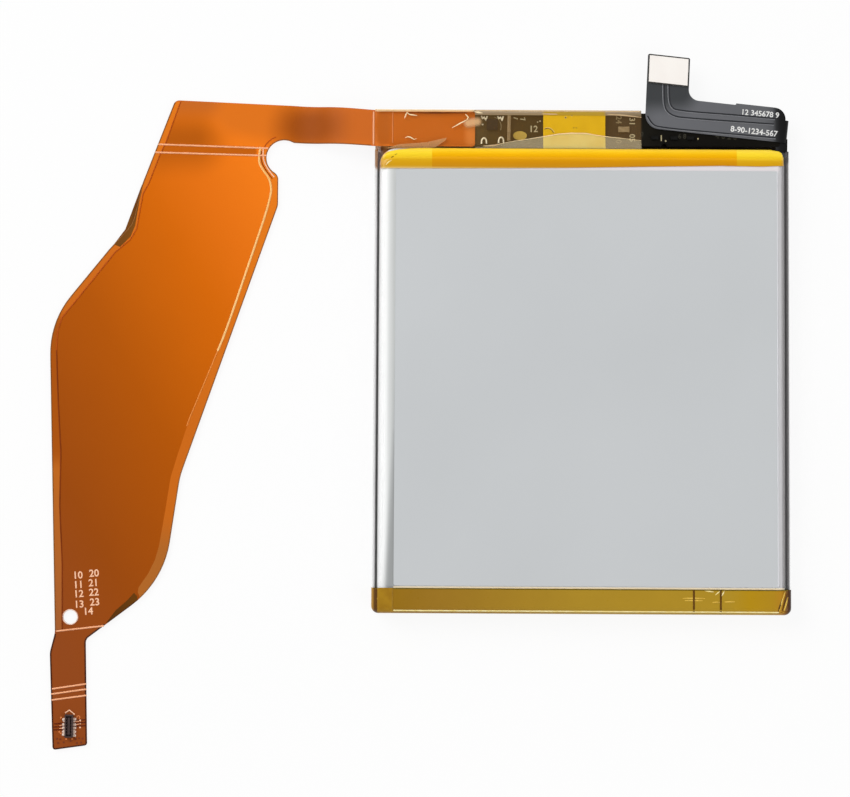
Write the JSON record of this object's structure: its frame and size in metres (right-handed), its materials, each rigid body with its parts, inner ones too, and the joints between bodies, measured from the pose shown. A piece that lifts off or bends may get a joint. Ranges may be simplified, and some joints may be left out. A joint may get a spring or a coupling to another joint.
{
  "type": "mobile phone battery",
  "caption": "Flat lithium-polymer phone battery pack with its protection board, a wide orange flex ending in a small connector, and a short black connector flex.",
  "frame": {"origin": "middle of the cell's flat back face", "axes": "+X across the cell to the right, +Y towards the protection board, +Z from the back to the label"},
  "size_m": [0.1072, 0.1012, 0.0044],
  "materials": {
    "pouch": "satin nylon-faced laminate",
    "label": "matt printed film",
    "amber_tape": "glossy translucent polyimide",
    "clear_tape": "clear glossy polyester",
    "yellow_patch": "glossy film",
    "orange_flex": "satin polyimide coverlay over copper",
    "black_flex": "matt black coverlay",
    "dark_film": "dark translucent film",
    "board": "black solder mask",
    "steel": "bright rolled",
    "nickel": "rolled",
    "tab_aluminium": "rolled foil",
    "tab_seal": "polypropylene strip",
    "connector_housing": "moulded liquid crystal polymer",
    "gold": "gold plated",
    "solder": "reflowed solder",
    "chip": "moulded epoxy",
    "ceramic": "fired ceramic",
    "foam": "closed-cell foam"
  },
  "bodies": {
    "root": {"pouch_cell": "pouch", "label_film": "label", "shoulder_tape": "amber_tape", "end_tape": "amber_tape", "left_edge_tape": "clear_tape", "right_edge_tape": "clear_tape", "board_wrap_tape": "clear_tape", "bay_insulator": "yellow_patch", "protection_board": "board", "main_flex": "orange_flex", "flex_backing_film": "dark_film", "tail_stiffener": "steel", "tail_receptacle": "connector_housing", "tail_contacts": "gold", "connector_flex": "black_flex", "connector_stiffener": "steel", "plug_connector": "connector_housing", "plug_contacts": "gold", "protection_chip": "chip", "test_pads": "gold", "positive_tab": "tab_aluminium", "negative_tab": "nickel", "positive_tab_seal": "tab_seal", "negative_tab_seal": "tab_seal", "weld_plates": "nickel", "mosfet_pair": "chip", "resistors": "chip", "capacitors": "ceramic", "thermistor": "ceramic", "chip_fuse": "ceramic", "board_underlay": "foam", "solder_joints": "solder"}
  },
  "joints": []
}
